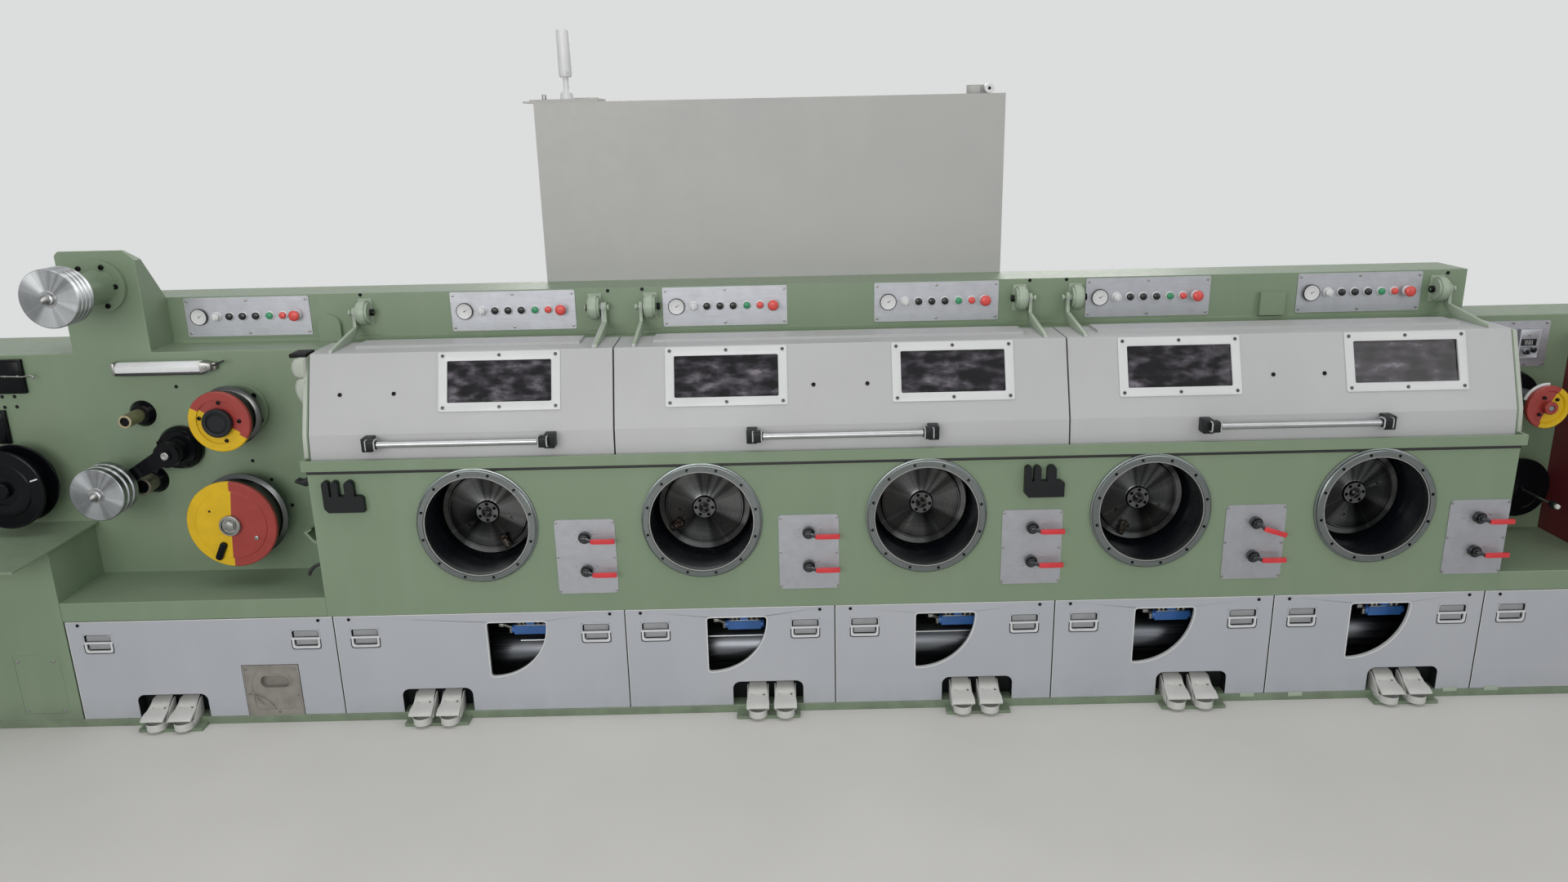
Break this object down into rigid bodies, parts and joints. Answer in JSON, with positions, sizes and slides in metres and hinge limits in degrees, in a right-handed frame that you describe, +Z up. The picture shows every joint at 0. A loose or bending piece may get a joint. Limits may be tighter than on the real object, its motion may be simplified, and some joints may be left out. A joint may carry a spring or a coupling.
{
  "type": "wire drawing machine",
  "caption": "Multi-block wire drawing machine: capstans in round wells, lifting windowed covers, control console, pay-off wheels, dancer arm and rear cabinet.",
  "frame": {"origin": "on the floor under the middle capstan, halfway through the depth of the plinth", "axes": "+Z up, +Y to the back, +X along the machine to the right when it is seen from the front"},
  "size_m": [6.587, 1.325, 2.475],
  "materials": {
    "green_paint": "satin enamel",
    "cover_paint": "light grey powder coat",
    "panel_paint": "pale grey powder coat",
    "plate_grey": "satin",
    "ring_steel": "turned",
    "capstan_steel": "turned, dark",
    "sheave_alloy": "turned",
    "black_enamel": "gloss",
    "black_plastic": "moulded",
    "switch_plastic": "moulded",
    "red_paint": "gloss",
    "yellow_paint": "gloss",
    "lever_sleeve": "dipped sleeve",
    "smoked_pane": "polished",
    "blue_paint": "gloss",
    "cabinet_paint": "fine texture powder coat",
    "lamp_white": "glossy",
    "guard_red": "satin",
    "zinc": "cast, dull",
    "pulley_steel": "turned"
  },
  "bodies": {
    "machine": {"plinth": "green_paint", "main_body": "green_paint", "left_housing": "green_paint", "right_housing": "green_paint", "console": "green_paint", "front_housing": "green_paint", "capstan_wells": "ring_steel", "cover_shelf": "green_paint", "left_tray": "green_paint", "right_bench": "green_paint", "feed_block": "green_paint", "lower_panels": "panel_paint", "panel_pulls": "plate_grey", "foot_switches": "switch_plastic", "coolant_pipe": "black_enamel", "blue_valves": "blue_paint", "hinge_brackets": "green_paint", "control_plates": "plate_grey", "control_buttons": "black_plastic", "valve_plates": "plate_grey", "wheel_flanges": "green_paint", "spindle_discs": "black_enamel", "lamp_bar": "lamp_white", "tool_holders": "black_plastic", "sensor_boxes": "black_plastic", "electrical_cabinet": "cabinet_paint", "counter_plate": "plate_grey", "red_guard": "guard_red", "inset_box": "zinc", "bay_pulleys": "pulley_steel"},
    "capstan_body_1": {"capstan_1": "capstan_steel"},
    "capstan_body_2": {"capstan_2": "capstan_steel"},
    "capstan_body_3": {"capstan_3": "capstan_steel"},
    "capstan_body_4": {"capstan_4": "capstan_steel"},
    "capstan_body_5": {"capstan_5": "capstan_steel"},
    "cover_body_1": {"cover_1": "cover_paint", "window_panes_1": "smoked_pane"},
    "cover_body_2": {"cover_2": "cover_paint", "window_panes_2": "smoked_pane"},
    "cover_body_3": {"cover_3": "cover_paint", "window_panes_3": "smoked_pane"},
    "lever_body_1a": {"valve_lever_1a": "lever_sleeve"},
    "lever_body_1b": {"valve_lever_1b": "lever_sleeve"},
    "lever_body_2a": {"valve_lever_2a": "lever_sleeve"},
    "lever_body_2b": {"valve_lever_2b": "lever_sleeve"},
    "lever_body_3a": {"valve_lever_3a": "lever_sleeve"},
    "lever_body_3b": {"valve_lever_3b": "lever_sleeve"},
    "lever_body_4a": {"valve_lever_4a": "lever_sleeve"},
    "lever_body_4b": {"valve_lever_4b": "lever_sleeve"},
    "lever_body_5a": {"valve_lever_5a": "lever_sleeve"},
    "lever_body_5b": {"valve_lever_5b": "lever_sleeve"},
    "top_sheave_body": {"top_sheave": "sheave_alloy"},
    "dancer_body": {"dancer_arm": "black_enamel"},
    "dancer_sheave_body": {"dancer_sheave": "sheave_alloy"},
    "upper_wheel_body": {"upper_wheel": "red_paint"},
    "lower_wheel_body": {"lower_wheel": "yellow_paint"},
    "left_reel_body": {"left_reel": "black_enamel"},
    "right_wheel_body": {"right_wheel": "red_paint"},
    "right_disc_body": {"right_disc": "black_enamel"}
  },
  "joints": [
    {"name": "capstan_1_spin", "type": "hinge", "parent": "machine", "child": "capstan_body_1", "pos_m": [-1.6, -0.1285, 0.769], "axis": [0, -1, 0], "continuous": true},
    {"name": "capstan_2_spin", "type": "hinge", "parent": "machine", "child": "capstan_body_2", "pos_m": [-0.8, -0.1285, 0.769], "axis": [0, -1, 0], "continuous": true},
    {"name": "capstan_3_spin", "type": "hinge", "parent": "machine", "child": "capstan_body_3", "pos_m": [0, -0.1285, 0.769], "axis": [0, -1, 0], "continuous": true},
    {"name": "capstan_4_spin", "type": "hinge", "parent": "machine", "child": "capstan_body_4", "pos_m": [0.8, -0.1285, 0.769], "axis": [0, -1, 0], "continuous": true},
    {"name": "capstan_5_spin", "type": "hinge", "parent": "machine", "child": "capstan_body_5", "pos_m": [1.6, -0.1285, 0.769], "axis": [0, -1, 0], "continuous": true},
    {"name": "cover_1_lift", "type": "hinge", "parent": "machine", "child": "cover_body_1", "pos_m": [-1.6355, 0.0965, 1.472], "axis": [-1, 0, 0], "range_deg": [0, 70]},
    {"name": "cover_2_lift", "type": "hinge", "parent": "machine", "child": "cover_body_2", "pos_m": [-0.296, 0.0965, 1.472], "axis": [-1, 0, 0], "range_deg": [0, 70]},
    {"name": "cover_3_lift", "type": "hinge", "parent": "machine", "child": "cover_body_3", "pos_m": [1.2945, 0.0965, 1.472], "axis": [-1, 0, 0], "range_deg": [0, 70]},
    {"name": "valve_1a_turn", "type": "hinge", "parent": "machine", "child": "lever_body_1a", "pos_m": [-1.221, -0.3585, 0.718], "axis": [0, -1, 0], "range_deg": [0, 90]},
    {"name": "valve_1b_turn", "type": "hinge", "parent": "machine", "child": "lever_body_1b", "pos_m": [-1.221, -0.3585, 0.59], "axis": [0, 1, 0], "range_deg": [0, 90]},
    {"name": "valve_2a_turn", "type": "hinge", "parent": "machine", "child": "lever_body_2a", "pos_m": [-0.421, -0.3585, 0.718], "axis": [0, -1, 0], "range_deg": [0, 90]},
    {"name": "valve_2b_turn", "type": "hinge", "parent": "machine", "child": "lever_body_2b", "pos_m": [-0.421, -0.3585, 0.59], "axis": [0, 1, 0], "range_deg": [0, 90]},
    {"name": "valve_3a_turn", "type": "hinge", "parent": "machine", "child": "lever_body_3a", "pos_m": [0.379, -0.3585, 0.718], "axis": [0, -1, 0], "range_deg": [0, 90]},
    {"name": "valve_3b_turn", "type": "hinge", "parent": "machine", "child": "lever_body_3b", "pos_m": [0.379, -0.3585, 0.59], "axis": [0, 1, 0], "range_deg": [0, 90]},
    {"name": "valve_4a_turn", "type": "hinge", "parent": "machine", "child": "lever_body_4a", "pos_m": [1.179, -0.3585, 0.718], "axis": [0, -1, 0], "range_deg": [0, 90]},
    {"name": "valve_4b_turn", "type": "hinge", "parent": "machine", "child": "lever_body_4b", "pos_m": [1.179, -0.3585, 0.59], "axis": [0, 1, 0], "range_deg": [0, 90]},
    {"name": "valve_5a_turn", "type": "hinge", "parent": "machine", "child": "lever_body_5a", "pos_m": [1.979, -0.3585, 0.718], "axis": [0, -1, 0], "range_deg": [0, 90]},
    {"name": "valve_5b_turn", "type": "hinge", "parent": "machine", "child": "lever_body_5b", "pos_m": [1.979, -0.3585, 0.59], "axis": [0, 1, 0], "range_deg": [0, 90]},
    {"name": "top_sheave_spin", "type": "hinge", "parent": "machine", "child": "top_sheave_body", "pos_m": [-2.949, -0.2985, 1.611], "axis": [0, -1, 0], "continuous": true},
    {"name": "dancer_swing", "type": "hinge", "parent": "machine", "child": "dancer_body", "pos_m": [-2.756, -0.1485, 1.005], "axis": [0, -1, 0], "range_deg": [-25, 30]},
    {"name": "dancer_sheave_spin", "type": "hinge", "parent": "dancer_body", "child": "dancer_sheave_body", "pos_m": [-2.968, -0.2185, 0.893], "axis": [0, -1, 0], "continuous": true},
    {"name": "upper_wheel_spin", "type": "hinge", "parent": "machine", "child": "upper_wheel_body", "pos_m": [-2.509, -0.1785, 1.144], "axis": [0, -1, 0], "continuous": true},
    {"name": "lower_wheel_spin", "type": "hinge", "parent": "machine", "child": "lower_wheel_body", "pos_m": [-2.521, -0.1785, 0.759], "axis": [0, -1, 0], "continuous": true},
    {"name": "left_reel_spin", "type": "hinge", "parent": "machine", "child": "left_reel_body", "pos_m": [-3.34, -0.1685, 0.901], "axis": [0, -1, 0], "continuous": true},
    {"name": "right_wheel_spin", "type": "hinge", "parent": "machine", "child": "right_wheel_body", "pos_m": [2.314, -0.1085, 1.06], "axis": [0, -1, 0], "continuous": true},
    {"name": "right_disc_spin", "type": "hinge", "parent": "machine", "child": "right_disc_body", "pos_m": [2.382, 0.0715, 0.686], "axis": [0, -1, 0], "continuous": true}
  ]
}
